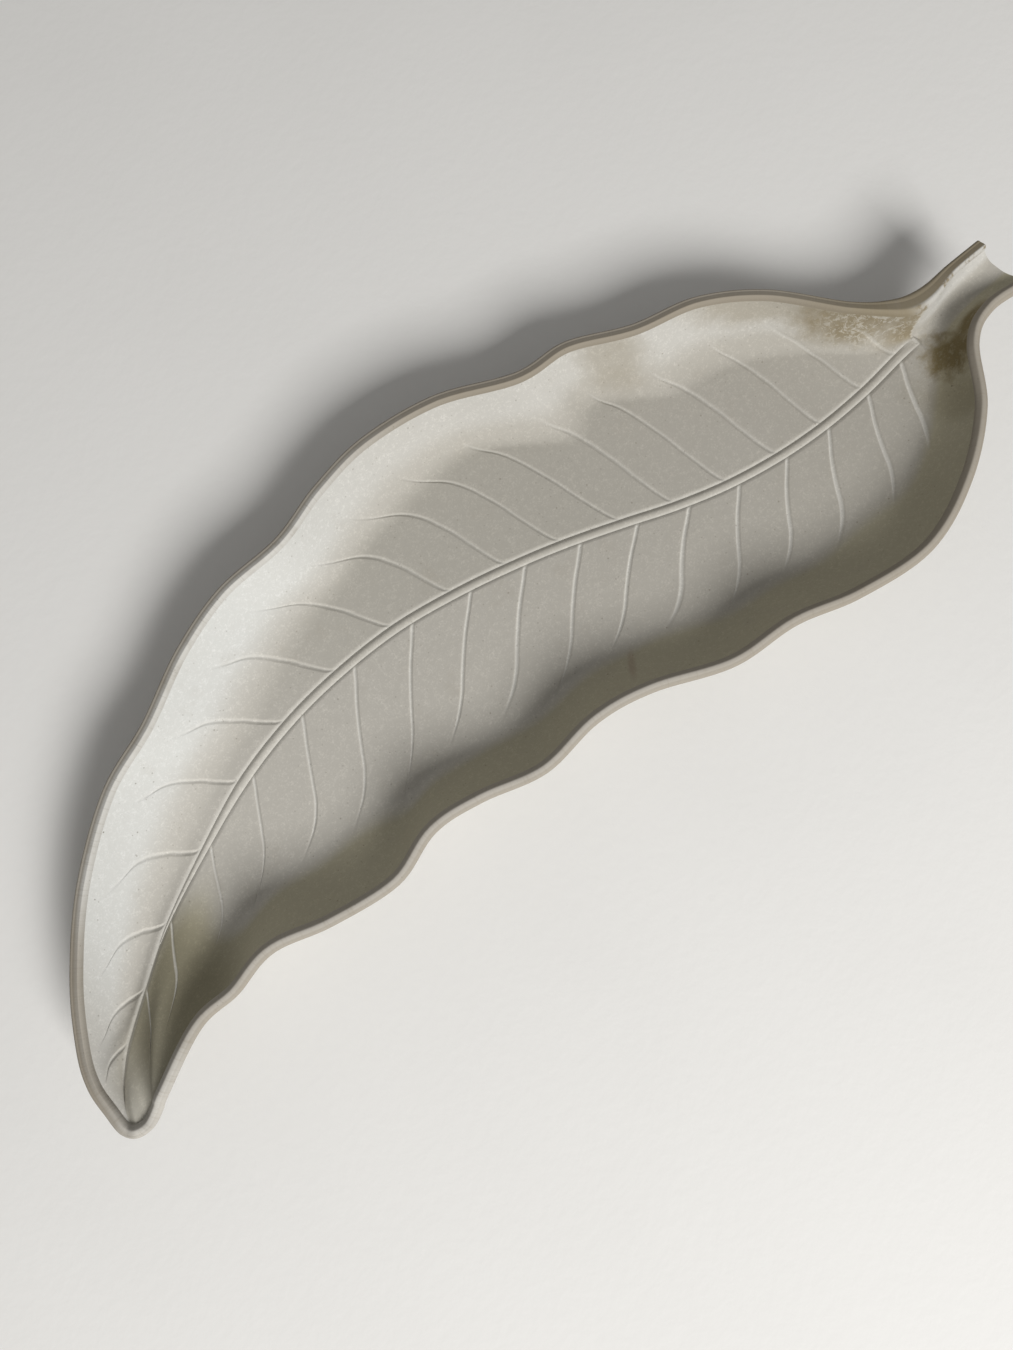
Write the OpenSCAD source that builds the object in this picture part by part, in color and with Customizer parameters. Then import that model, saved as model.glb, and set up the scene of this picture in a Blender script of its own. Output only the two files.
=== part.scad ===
// Leaf shaped ceramic dish: a long curved leaf with a wavy rim, engraved side veins,
// a rounded midrib between two fine grooves, and an open stalk at the broad end.
// Millimetres. +X runs from the leaf's tip to its stalk, +Y to its bulging side, +Z up.
// The origin is on the table, under the middle of the dish.

/* [Overall size] */
// Length from the tip of the leaf to the cut end of the stalk
dish_l = 460; // [320:5:600]
// Width between the outermost points of the two rims
dish_w = 184; // [140:2:240]
// Height of the blade's rim above the table
rim_h = 32; // [27:1:45]
// How far the rim rises and falls in its waves
wave_h = 1.2; // [0:0.1:2.4]

/* [Shell] */
// Thickness of the floor
floor_t = 4.5; // [3:0.25:6.5]
// Thickness of the wall where it meets the lip, measured level
wall_t = 4.8; // [3.2:0.1:6]
// Level distance over which the inside climbs from the floor to the rim
wall_run = 24; // [16:1:32]
// How far the floor climbs towards the tip
tip_rise = 13; // [6:1:16]

/* [Lip] */
// Height of the lip on top of the wall, at the ridge along its inner side
lip_h = 2.6; // [1.4:0.1:4]

/* [Stalk] */
// How far the stalk's lips rise above the blade's rim
stalk_lip_rise = 10; // [4:1:20]
// How far the floor climbs from the blade to the stalk's end
stalk_floor_rise = 21; // [14:1:24]
// How far the stalk's channel lies below the leaf at the step between them
channel_step = 1; // [0:0.1:1.4]

/* [Midrib] */
// Width of the midrib at the broad end, from the bottom of one groove to the other's
rib_w = 3.7; // [2.6:0.1:5]
// Width of the midrib at its pointed end
rib_end_w = 0.6; // [0.5:0.1:1.2]
// Height of the midrib's crown above the floor
rib_h = 0.3; // [0.1:0.1:1.2]
// Width of the slope from the floor down to the bottom of each groove
groove_w = 1.7; // [1:0.1:2.4]
// Depth of the fine groove along each side of the midrib
groove_d = 0.7; // [0.4:0.05:1.1]

/* [Side veins] */
// Width of an engraved vein
vein_w = 2.6; // [1.2:0.1:3.2]
// Depth of an engraved vein
vein_d = 0.5; // [0.3:0.05:1.1]

/* [Foot] */
// Height of the foot ring under the floor
foot_h = 3; // [1.5:0.25:6]
// Width of the foot ring's wall
foot_w = 4; // [2.5:0.25:7]

/* [Hidden] */

clay = [0.74, 0.72, 0.68];
pale_clay = [0.80, 0.78, 0.74];
foot_clay = [0.66, 0.64, 0.60];

// The leaf's lines at 24 stations, from the stalk's end to the tip.
// Each row has the midrib, the upper rim and the lower rim, x then y,
// as shares of the leaf's length from the tip and of its width from the middle.
station_shares = [
    [[1.000, -0.173], [1.000, -0.108], [1.000, -0.253]],
    [[0.968, -0.173], [0.968, -0.104], [0.964, -0.247]],
    [[0.938, -0.167], [0.938, -0.101], [0.933, -0.263]],
    [[0.922, -0.162], [0.911, -0.077], [0.897, -0.366]],
    [[0.902, -0.159], [0.884, -0.007], [0.839, -0.458]],
    [[0.861, -0.159], [0.845,  0.130], [0.772, -0.500]],
    [[0.813, -0.150], [0.795,  0.232], [0.705, -0.469]],
    [[0.765, -0.130], [0.739,  0.284], [0.648, -0.414]],
    [[0.715, -0.096], [0.686,  0.355], [0.590, -0.385]],
    [[0.669, -0.051], [0.639,  0.379], [0.528, -0.307]],
    [[0.624,  0.003], [0.575,  0.464], [0.478, -0.273]],
    [[0.574,  0.060], [0.506,  0.501], [0.421, -0.272]],
    [[0.526,  0.106], [0.448,  0.493], [0.368, -0.224]],
    [[0.476,  0.146], [0.396,  0.466], [0.325, -0.203]],
    [[0.419,  0.180], [0.334,  0.469], [0.277, -0.225]],
    [[0.359,  0.194], [0.275,  0.433], [0.218, -0.192]],
    [[0.300,  0.191], [0.216,  0.369], [0.172, -0.150]],
    [[0.238,  0.166], [0.158,  0.321], [0.131, -0.159]],
    [[0.177,  0.117], [0.095,  0.216], [0.095, -0.156]],
    [[0.118,  0.055], [0.046,  0.091], [0.047, -0.203]],
    [[0.074, -0.014], [0.015, -0.019], [0.034, -0.216]],
    [[0.042, -0.071], [0.003, -0.089], [0.019, -0.228]],
    [[0.026, -0.110], [0.000, -0.152], [0.007, -0.220]],
    [[0.016, -0.142], [0.000, -0.195], [0.000, -0.195]]];
last = len(station_shares) - 1;

// Stations, counted from the stalk's end: where the blade, the grooves and the midrib
// start, where the midrib ends, and where the veins and the foot ring start and end
neck_station = 2;
groove_first_station = 2.75;
rib_first_station = 3;
rib_narrows_station = 17;
rib_last_station = 19.3;
vein_first_station = 4;
vein_last_stations = [21, 20];
foot_first_station = 6.3;
foot_last_station = 17.7;

// The upper side is 0 and the lower side is 1. The lower veins spring a little
// nearer the stalk in the middle of the leaf.
sides = [0, 1];
vein_lag_stations = [0, 0.3];
// How far a vein leans away from the tip and hooks back, in stations, at each tenth of
// the way from the midrib to the rim, and its strength at every second station
vein_lean_stations = [
    [0, 0.02, -0.03, -0.06, -0.07, -0.11, -0.20, -0.18, 0.02, 0.12, 0],
    [0, 0, -0.02, -0.05, -0.09, -0.13, -0.13, -0.08, -0.02, 0, 0]];
vein_lean_steps = 10;
lean_strength = [
    [0.5, 0.5, 0.5, 0.5, 0.6, 1.2, 1.8, 1.6, 1.1, 1.1, 1.1, 1.1, 1],
    [0.3, 0.3, 0.3, 0.3, 0.3, 0.3, 0.3, 0.4, 2.2, 2.4, 2.6, 1, 1]];
lean_strength_stations = 2;
// Where a vein starts to fade, and where it ends, on the way from midrib to rim
vein_full_share = [0.62, 0.48];
vein_end_share = [0.88, 0.70];
// Where a vein is deepest, as a share of its width: it falls steeply on one side
vein_bottom_share = [0.4, 0.6];
// Stations from one crest of the rim's wave to the next, and a station with a crest
wave_stations = [2, 3];
wave_crest_station = 7;
// Stations over which the waves and the lean of the cross lines fade at the two ends
fade_stations = 2;

// The step down into the stalk's channel: its place at the midrib, how far it runs on
// towards the stalk up to the rim, the length of its slope, and where its depth dies out
step_station = 3.1;
step_back_stations = 0.8;
step_slope_stations = 0.3;
step_fade_stations = 1.5;
// How far the step reaches over the lower side
step_reach_share = 0.45;

// Where the floor starts to climb, as shares of the length from the tip
stalk_from_share = 0.80;
tip_from_share = 0.20;
// The wall's curve, the most of the half width that it takes, and the foot's place
wall_power = 1.9;
wall_most_share = 0.8;
foot_share = 0.46;
// The groove's depth half way up its slope, and the midrib's rows from groove to crown
groove_slope_share = 0.25;
rib_row_shares = [1, 0.62, 0.25];
// Rows from midrib to rim, as shares of the way from the groove to the rim
inner_row_shares = [0.14, 0.28, 0.42, 0.54, 0.64, 0.72, 0.80, 0.87, 0.94, 1];
outer_row_shares = [0.42, 0.60, 0.72, 0.82, 0.91, 1];
// The lip's section from its inner edge to its outer one, as shares of the wall's
// thickness and of the lip's height: a ridge, a flat that slopes outward, then a bead
lip_shares = [
    [0, 0], [0.06, 0.58], [0.21, 1], [0.34, 0.90], [0.63, 0.46],
    [0.68, 0.40], [0.84, 0.38], [0.96, 0.22], [1, 0]];
// Steps of each side of the foot, and steps in stations
foot_steps = 38;
fine_step_stations = 0.25;
tangent_step_stations = 0.01;

// A smooth curve through a list of points, at a place counted in points
function point(list, i) =
    i < 0 ? 2 * list[0] - list[1]
    : i >= len(list) ? 2 * list[len(list) - 1] - list[len(list) - 2]
    : list[i];
function eased(a, b, c, d, f) =
    (2 * b + (c - a) * f + (2 * a - 5 * b + 4 * c - d) * f * f
    + (3 * b - a - 3 * c + d) * f * f * f) / 2;
function along(list, t) =
    let (i = max(0, min(len(list) - 2, floor(t))))
    eased(point(list, i - 1), point(list, i), point(list, i + 1), point(list, i + 2), t - i);
function clamp(x) = max(0, min(1, x));

// The rim as one curve in shares: down the upper side, round the tip, back up the lower side
rim_shares = concat(
    [for (s = station_shares) s[1]],
    [for (i = [last - 1 : -1 : 0]) station_shares[i][2]]);
rim_samples = [for (t = [0 : fine_step_stations : 2 * last]) along(rim_shares, t)];
low = [min([for (p = rim_samples) p.x]), min([for (p = rim_samples) p.y])];
high = [max([for (p = rim_samples) p.x]), max([for (p = rim_samples) p.y])];

// Shares turned into millimetres, so that the box of the rim is dish_l by dish_w
function sized(p) = [
    ((p.x - low.x) / (high.x - low.x) - 1 / 2) * dish_l,
    ((p.y - low.y) / (high.y - low.y) - 1 / 2) * dish_w];
rim_points = [for (p = rim_shares) sized(p)];
spine_points = [for (s = station_shares) sized(s[0])];

function spine(t) = along(spine_points, t);
function rim_place(t, side) = side == 0 ? t : 2 * last - t;
function outer_edge(t, side) = along(rim_points, rim_place(t, side));
function outward(t, side) =
    let (
        u = rim_place(t, side),
        d = along(rim_points, u + tangent_step_stations) - along(rim_points, u - tangent_step_stations))
    [d.y, -d.x] / norm(d);
function inner_edge(t, side) = outer_edge(t, side) - wall_t * outward(t, side);

// Heights: the floor along the midrib, and the top of the wall under the lip
function length_share(t) = spine(t).x / dish_l + 1 / 2;
function stalk_climb(t) = pow(clamp((length_share(t) - stalk_from_share) / (1 - stalk_from_share)), 2);
function tip_climb(t) = pow(clamp((tip_from_share - length_share(t)) / tip_from_share), 2);
function floor_z(t) =
    foot_h + floor_t + stalk_floor_rise * stalk_climb(t) + tip_rise * tip_climb(t);
function wave(t, side) =
    wave_h * cos(360 * (t - wave_crest_station) / wave_stations[side])
    * clamp((t - vein_first_station) / fade_stations) * clamp((last - t) / fade_stations);
function wall_top_z(t, side) =
    rim_h - lip_h - wave_h + stalk_lip_rise * stalk_climb(t) + wave(t, side);

// How far up the wall a point is, from 0 on the floor to 1 at the lip
function wall_climb(t, v, side) =
    let (
        half = norm(inner_edge(t, side) - spine(t)),
        wall_share = min(wall_run / half, wall_most_share))
    pow(clamp((v - 1 + wall_share) / wall_share), wall_power);

// Cross lines follow the veins: they lean in stations, but not at the neck or the tip
function leaned(t, v, side) =
    t + along(vein_lean_stations[side], vein_lean_steps * v)
    * along(lean_strength[side], t / lean_strength_stations)
    * clamp((t - neck_station) / fade_stations) * clamp((last - t) / fade_stations);

// The stalk's channel lies below the leaf, past a step that slants from midrib to lip
function smooth_step(x) = let (c = clamp(x)) c * c * (3 - 2 * c);
function channel_depth(t, v, side) =
    channel_step * smooth_step((step_station - step_back_stations * v - t) / step_slope_stations)
    * smooth_step(t / step_fade_stations) * (1 - wall_climb(t, v, side))
    * (side == 1 ? clamp(1 - v / step_reach_share) : 1);

function inner_point(t0, v, side, sunk = 0) =
    let (
        t = leaned(t0, v, side),
        p = spine(t) + (inner_edge(t, side) - spine(t)) * v,
        z = floor_z(t) + (wall_top_z(t, side) - floor_z(t)) * wall_climb(t, v, side))
    [p.x, p.y, z - sunk - channel_depth(t, v, side)];
function outer_point(t0, v, side) =
    let (
        t = leaned(t0, v, side),
        p = spine(t) + (outer_edge(t, side) - spine(t)) * v,
        climb = wall_climb(t, v, side),
        z = floor_z(t) + (wall_top_z(t, side) - floor_z(t)) * climb)
    [p.x, p.y, z - floor_t * (1 - climb)];

// Half the midrib's width, which narrows towards the tip, and the same distance
// or any other one, square to the midrib, as a share of the way to the rim
function rib_half(t) =
    let (f = clamp((t - rib_narrows_station) / (rib_last_station - rib_narrows_station)))
    (rib_w * (1 - f) + rib_end_w * f) / 2;
function share_of(d, t, side) =
    let (
        run = inner_edge(t, side) - spine(t),
        ahead = spine(min(last, t + tangent_step_stations)) - spine(max(0, t - tangent_step_stations)),
        square_run = abs(cross(run, ahead)) / norm(ahead))
    d / max(square_run, norm(run) / 2);

// Places of the columns, counted in stations: three for each vein, the middle one
// engraved, and two between one vein and the next
function vein_place(k, side) =
    let (f = (k - vein_first_station) / (vein_last_stations[side] - vein_first_station))
    k - vein_lag_stations[side] * sin(180 * f);
function vein_half(k) = vein_w / norm(spine(k + 1) - spine(k - 1));
function vein_columns(k, side) =
    let (
        c = vein_place(k, side),
        e = vein_half(k),
        bottom = c + e * (2 * vein_bottom_share[side] - 1),
        next = k < vein_last_stations[side] ? vein_place(k + 1, side) : k + 1)
    [[c - e, 0], [bottom, 1], [c + e, 0], [c + (next - c) * 2 / 5, 0], [c + (next - c) * 2 / 3, 0]];
function blade_columns(side) = concat(
    [for (t = [neck_station : fine_step_stations : vein_first_station - fine_step_stations]) [t, 0]],
    [for (k = [vein_first_station : vein_last_stations[side]]) each vein_columns(k, side)],
    [for (t = [vein_last_stations[side] + 1 : fine_step_stations : last]) [t, 0]]);
function stalk_columns(side) = [for (t = [0 : 1 / 2 : neck_station]) [t, 0]];
function vein_depth(engraved, v, side) =
    engraved * vein_d
    * clamp((vein_end_share[side] - v) / (vein_end_share[side] - vein_full_share[side]));

// One column of the shell, from the bottom of the groove up to the floor, up the wall,
// over its top, and back along the underside
function inner_shares(t, side) =
    let (
        edge = share_of(rib_half(t), t, side),
        groove = share_of(rib_half(t) + groove_w, t, side))
    concat(
        [edge, (edge + groove) / 2, groove],
        [for (s = inner_row_shares) groove + (1 - groove) * s]);
function outer_shares(t, side) =
    let (edge = share_of(rib_half(t), t, side))
    concat([edge], [for (s = outer_row_shares) edge + (1 - edge) * s]);
function groove_fade(t) =
    clamp((t - groove_first_station) / (vein_first_station - groove_first_station));
function groove_depth(t) = groove_d * groove_fade(t);
function inner_column(c, side) =
    let (t = c[0], shares = inner_shares(t, side))
    [for (j = [0 : len(shares) - 1])
        inner_point(t, shares[j], side,
            j == 0 ? groove_depth(t)
            : j == 1 ? groove_depth(t) * groove_slope_share
            : vein_depth(c[1], shares[j], side))];
function outer_column(c, side) =
    [for (v = outer_shares(c[0], side)) outer_point(c[0], v, side)];

// Faces between two rows of points. The rows of one side have a point for each column.
// Across the midrib the two sides have other columns, so their rows are zipped together
// in the order of their places.
function flipped(face, flip) = flip ? [face[0], face[2], face[1]] : face;
function quads(a, b, flip) = [for (i = [0 : len(a) - 2]) each [
    flipped([a[i], a[i + 1], b[i + 1]], flip),
    flipped([a[i], b[i + 1], b[i]], flip)]];
function first_ahead(pa, pb, i, j) =
    j >= len(pb) - 1 ? true : i >= len(pa) - 1 ? false : pa[i + 1] <= pb[j + 1];
function zipped(a, b, pa, pb, flip) = [
    for (i = 0, j = 0, up = first_ahead(pa, pb, 0, 0);
        i + j < len(a) + len(b) - 2;
        i = up ? i + 1 : i, j = up ? j : j + 1, up = first_ahead(pa, pb, i, j))
    flipped(up ? [a[i], a[i + 1], b[j]] : [a[i], b[j + 1], b[j]], flip)];
function row_ids(first, columns, rows, j) = [for (i = [0 : columns - 1]) first + i * rows + j];
function column_ids(first, rows, i, from, to) =
    [for (j = from; from < to ? j <= to : j >= to; j = from < to ? j + 1 : j - 1) first + i * rows + j];

// A length of the shell between two sets of columns, with a cap where it is cut
module shell(upper, lower, cap_far) {
    sets = [upper, lower];
    inner_n = len(inner_shares(0, 0));
    outer_n = len(outer_shares(0, 0));
    rows = inner_n + outer_n;
    count = [len(upper), len(lower)];
    first = [0, count[0] * rows];
    points = [for (s = sides) for (c = sets[s]) each concat(
        inner_column(c, s),
        [for (j = [outer_n - 1 : -1 : 0]) outer_column(c, s)[j]])];
    places = [for (s = sides) [for (c = sets[s]) c[0]]];
    skin = [for (s = sides) for (j = [0 : rows - 2]) each quads(
        row_ids(first[s], count[s], rows, j),
        row_ids(first[s], count[s], rows, j + 1), s == 1)];
    seat = zipped(
        row_ids(first[0], count[0], rows, 0),
        row_ids(first[1], count[1], rows, 0), places[0], places[1], true);
    belly = zipped(
        row_ids(first[0], count[0], rows, rows - 1),
        row_ids(first[1], count[1], rows, rows - 1), places[0], places[1], false);
    ends = cap_far ? [0, 1] : [0];
    caps = [for (e = ends) each concat(
        [for (s = sides) each let (
            i = e == 0 ? 0 : count[s] - 1,
            t = places[s][i])
            zipped(
                column_ids(first[s], rows, i, 0, inner_n - 1),
                column_ids(first[s], rows, i, rows - 1, inner_n),
                inner_shares(t, s), outer_shares(t, s), (s == 1) != (e == 1))],
        quads(
            [first[0] + (e == 0 ? 0 : count[0] - 1) * rows,
                first[0] + (e == 0 ? 0 : count[0] - 1) * rows + rows - 1],
            [first[1] + (e == 0 ? 0 : count[1] - 1) * rows,
                first[1] + (e == 0 ? 0 : count[1] - 1) * rows + rows - 1], e == 1))];
    polyhedron(points = points, faces = concat(skin, seat, belly, caps), convexity = 6);
}

// The open dish of the leaf, with its veins and the two grooves of the midrib
module leaf_bowl() {
    color(clay)
        shell(blade_columns(0), blade_columns(1), false);
}

// The open trough of the stalk, which runs on from the neck to the cut end
module stalk() {
    color(clay)
        shell(stalk_columns(0), stalk_columns(1), true);
}

// The lip along the top of the wall, from one side of the stalk's end to the other
module rim_lip() {
    columns = [for (s = sides) concat(
        [for (c = stalk_columns(s)) c[0]],
        [for (c = blade_columns(s)) if (c[0] > neck_station) c[0]])];
    path = concat(
        [for (t = columns[0]) [t, 0]],
        [for (i = [len(columns[1]) - 2 : -1 : 0]) [columns[1][i], 1]]);
    rows = len(lip_shares);
    points = [for (c = path) each let (
        a = inner_edge(c[0], c[1]),
        b = outer_edge(c[0], c[1]),
        z = wall_top_z(c[0], c[1]))
        [for (s = lip_shares)
            let (p = a + (b - a) * s[0])
            [p.x, p.y, z + lip_h * s[1]]]];
    n = len(path);
    skin = [for (j = [0 : rows - 1]) each quads(
        row_ids(0, n, rows, j), row_ids(0, n, rows, (j + 1) % rows), false)];
    caps = [for (e = [0, 1]) for (j = [1 : rows - 2]) flipped(
        [e * (n - 1) * rows, e * (n - 1) * rows + j, e * (n - 1) * rows + j + 1], e == 1)];
    color(pale_clay)
        polyhedron(points = points, faces = concat(skin, caps), convexity = 6);
}

// The rounded rib along the leaf's middle, which fills the space between its two grooves
module midrib() {
    places = [for (s = sides)
        [for (c = blade_columns(s)) if (c[0] >= rib_first_station && c[0] <= rib_last_station) c[0]]];
    rows = len(rib_row_shares);
    count = [len(places[0]), len(places[1])];
    first = [0, count[0] * rows];
    points = [for (s = sides) for (t = places[s]) for (r = rib_row_shares)
        inner_point(t, r * share_of(rib_half(t), t, s), s, groove_depth(t))
        + [0, 0, (rib_h * groove_fade(t) + groove_depth(t)) * (1 - r * r) * rib_half(t) * 2 / rib_w]];
    ids = [for (s = sides) [for (j = [0 : rows - 1]) row_ids(first[s], count[s], rows, j)]];
    ends = [for (i = [0, 1]) concat(
        [for (j = [0 : rows - 1]) ids[0][j][i * (count[0] - 1)]],
        [for (j = [rows - 1 : -1 : 0]) ids[1][j][i * (count[1] - 1)]])];
    color(pale_clay)
        polyhedron(
            points = points,
            faces = concat(
                [for (j = [0 : rows - 2]) each concat(
                    quads(ids[0][j], ids[0][j + 1], true),
                    quads(ids[1][j], ids[1][j + 1], false))],
                zipped(ids[0][rows - 1], ids[1][rows - 1], places[0], places[1], true),
                zipped(ids[0][0], ids[1][0], places[0], places[1], false),
                [for (i = [0, 1]) for (j = [1 : 2 * rows - 2])
                    flipped([ends[i][0], ends[i][j], ends[i][j + 1]], i == 0)]),
            convexity = 4);
}

// The leaf shaped ring that the dish stands on, flush with the underside of the floor
module foot_outline() {
    function ring_point(f, side) =
        let (
            t = foot_first_station + (foot_last_station - foot_first_station) * f,
            p = outer_point(t, foot_share * sqrt(sin(180 * f)), side))
        [p.x, p.y];
    polygon(concat(
        [for (i = [0 : foot_steps]) ring_point(i / foot_steps, 0)],
        [for (i = [foot_steps - 1 : -1 : 1]) ring_point(i / foot_steps, 1)]));
}
module foot_ring() {
    color(foot_clay)
        linear_extrude(foot_h)
            difference() {
                foot_outline();
                offset(delta = -foot_w) foot_outline();
            }
}

leaf_bowl();
rim_lip();
stalk();
midrib();
foot_ring();
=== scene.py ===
import bpy
import numpy as np
from mathutils import Matrix, Vector


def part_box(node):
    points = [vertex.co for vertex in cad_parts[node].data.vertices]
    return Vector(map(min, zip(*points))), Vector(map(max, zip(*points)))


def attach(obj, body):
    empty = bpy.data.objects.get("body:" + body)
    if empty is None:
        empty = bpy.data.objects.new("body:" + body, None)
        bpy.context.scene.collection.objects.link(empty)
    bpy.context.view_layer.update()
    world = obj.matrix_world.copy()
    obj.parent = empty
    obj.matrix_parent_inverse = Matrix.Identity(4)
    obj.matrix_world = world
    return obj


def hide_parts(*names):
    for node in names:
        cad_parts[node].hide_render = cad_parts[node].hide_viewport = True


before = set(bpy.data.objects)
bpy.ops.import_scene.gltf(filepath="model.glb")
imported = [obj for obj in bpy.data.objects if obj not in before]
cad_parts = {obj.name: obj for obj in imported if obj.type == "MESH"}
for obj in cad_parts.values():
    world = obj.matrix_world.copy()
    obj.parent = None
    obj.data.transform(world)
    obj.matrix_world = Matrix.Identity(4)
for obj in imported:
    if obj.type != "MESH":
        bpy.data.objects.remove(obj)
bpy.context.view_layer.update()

bl_info = {
    "name": "Leaf Dish",
    "version": (1, 0, 0),
    "blender": (4, 5, 0),
    "location": "View3D > Sidebar > Leaf Dish",
    "description": "Builds a leaf shaped ceramic dish with veins, a midrib and a rolled lip",
    "category": "Add Mesh",
}

MM = 0.001
LIP_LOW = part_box("rim_lip")[0]
DISH_LENGTH = -2 * LIP_LOW.x
DISH_WIDTH = -2 * LIP_LOW.y
FOOT_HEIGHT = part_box("foot_ring")[1].z

# The leaf's lines at 24 stations, from the stalk's end to the tip: the midrib, the upper rim
# and the lower rim, x then y, in thousandths of the length from the tip and of the width
# from the middle
STATIONS = np.array([
    [1000, -173, 1000, -106, 1000, -253],
    [968, -171, 968, -98, 964, -237],
    [938, -167, 938, -93, 935, -265],
    [922, -162, 913, -69, 897, -373],
    [902, -159, 886, -8, 840, -458],
    [861, -159, 845, 135, 774, -500],
    [813, -150, 797, 232, 704, -466],
    [765, -130, 740, 283, 648, -413],
    [715, -96, 688, 356, 590, -385],
    [669, -51, 639, 379, 528, -307],
    [624, 3, 575, 464, 478, -273],
    [574, 60, 506, 501, 421, -272],
    [526, 106, 448, 493, 368, -224],
    [476, 146, 396, 466, 325, -203],
    [419, 180, 334, 469, 277, -225],
    [359, 194, 275, 433, 218, -192],
    [300, 191, 216, 369, 172, -150],
    [238, 166, 158, 321, 131, -159],
    [177, 117, 95, 216, 95, -156],
    [118, 55, 46, 91, 47, -203],
    [74, -14, 15, -19, 34, -216],
    [42, -71, 3, -89, 19, -228],
    [26, -110, 0, -152, 7, -220],
    [16, -142, 0, -195, 0, -195]]) / 1000
LAST = len(STATIONS) - 1

# Stations where things start and end, counted from the stalk's end, and their fade
NECK = 2.0
GROOVE_FIRST, RIB_FIRST, RIB_NARROWS, RIB_LAST = 2.75, 3.0, 17.0, 19.3
VEIN_FIRST, VEIN_LAST = 4, (21, 20)
FOOT_FIRST, FOOT_LAST = 6.3, 17.7
FADE = 2.0

# Here and below a pair is for the upper side and the lower side. The veins: their lag in the
# middle of the leaf, where they start to die out and end, and where each one is deepest
LAG, FULL, END, BOTTOM = (0.0, 0.3), (0.74, 0.58), (0.89, 0.73), (0.4, 0.6)

# The rim's wave: its length in stations, its share of the named height, a crest's station
WAVE, WAVE_SHARE, WAVE_CREST = (2.0, 3.0), (0.1, 1.4), 7.0

# Shares of the length where the floor starts to climb to the stalk and to the tip
STALK_FROM, TIP_FROM = 0.80, 0.20

# The wall: its power, the most of the way that it takes, and how much longer it is on the
# upper side, with the stations where that comes in and ends
WALL_POWER, WALL_MOST, RUN_MORE, RUN_GROWS, RUN_ENDS = 1.9, 0.8, 0.4, (12, 15), (22, 20)

# The tip's one curve: its first station, the stations over which it comes in, the weight of
# its smooth step and the power that brings the step forward
TIP_CURVE, TIP_CURVE_OVER = (19.8, 17.3), (1.6, 2.4)
TIP_CURVE_WEIGHT, TIP_CURVE_POWER = 0.7, 0.85

# The step down into the stalk's channel: its station at the midrib, how far it runs on
# towards the stalk from midrib to rim, its slope, where its depth dies out towards the
# stalk's end, how far it reaches on the lower side, and its end under the lip
STEP_FROM, STEP_BACK, STEP_SLOPE, STEP_FADE, STEP_REACH, STEP_LIP = 3.1, 0.8, 0.2, 1.5, 0.45, 0.14

# The step's uneven line: turns, start and height of each sine, how far it strays in
# stations, and over what shares of the way it comes in and the burr ends at the lip
SINES = ((47, 1, 0.5), (101, 2, 0.3), (211, 0, 0.3))
STRAY, COME_IN, BURR_LIP = 0.03, 1 / 8, 1 / 12

# The burr: its place, half width, mean height and unevenness. The flank: how sharply it
# starts, its end, how much earlier that is at the rim, its fade and its start up the wall
BURR_PLACE, BURR_HALF, BURR_MEAN, BURR_UNEVEN = 0.02, 0.055, 0.75, 0.45
FLANK_START, FLANK_END, FLANK_LEAN, FLANK_FADE, FLANK_LOW = 0.06, 4.6, 0.4, 1.4, (0.1, 0.35)

# The foot's line as a share of the way to the rim, and its rounding as a share of its width
FOOT_SHARE, FOOT_CORNER = 0.46, 0.25

# Columns and rows of the grids, the powers that crowd the rows, and in stations the neck's
# steps and last place, the midrib's steps and the step that finds a direction
ACROSS_VEIN, BETWEEN_VEINS, TIP_COLUMNS, STALK_COLUMNS, FOOT_COLUMNS = 11, 9, (12, 24), 51, 121
GROOVE_ROWS, INNER_ROWS, OUTER_ROWS, LIP_ROWS, RIB_ROWS, CORNER_ROWS = 8, 56, 23, 33, 17, 6
INNER_CROWDING, OUTER_CROWDING = 1.25, 0.8
NECK_STEP, NECK_END, RIB_STEP, AHEAD = 0.04, 3.86, 0.05, 0.01

# How the cross lines sag towards the stalk and hook back to the tip, at each tenth of the way
# to the rim: the sag's shape, the hook in stations, and the sag in stations at every second
# station, all in hundredths
SAG_SHAPE = np.array([
    [0, -20, -42, -62, -80, -93, -100, -85, -35, 10, 0],
    [0, -30, -55, -75, -90, -100, -100, -80, -45, -15, 0]]) / 100
HOOK = np.array([[0, 3, 3, 2, 0, 0, 0, 2, 11, 13, 0], [0, 2, 5, 5, 3, 0, 2, 10, 12, 5, 0]]) / 100
SAG = np.array([
    [10, 10, 10, 10, 10, 12, 42, 26, 10, 16, 18, 12, 10],
    [8, 8, 8, 8, 8, 8, 8, 8, 38, 30, 28, 10, 10]]) / 100

# The lip's section on each side from its inner edge to its outer one, in hundredths of the
# wall's thickness and of the lip's height: a ridge, a flat that slopes outward, then a bead
LIP_SECTION = np.array([
    [[0, 0], [6, 58], [21, 100], [34, 94], [63, 70], [68, 65], [84, 60], [96, 34], [100, 0]],
    [[0, 0], [6, 34], [23, 74], [40, 100], [62, 92], [71, 80], [84, 66], [96, 36], [100, 0]],
]) / 100

# Where the walls swell between the rim's dents: each swell's station and strength, their
# reach in stations, and the share that a full one adds to the wall's run
SWELLS = (((7.1, -0.5), (8.2, 0.9), (9.0, -0.8), (10.2, 0.8), (11.6, -0.3), (12.8, 0.4)),
          ((3.6, 0.8), (5.4, 1.0), (6.6, -0.2), (8.6, 0.3), (10.5, 0.6), (12.4, -0.3), (14.5, 1.2),
           (18.5, 0.8)))
SWELL_REACH, SWELL_RUN = (0.42, 0.75), (-0.22, 0.30)

# Where the upper wall widens at the neck: its station, its reach and the share it adds
NECK_WALL = (2.4, 0.9, 0.85)

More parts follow.
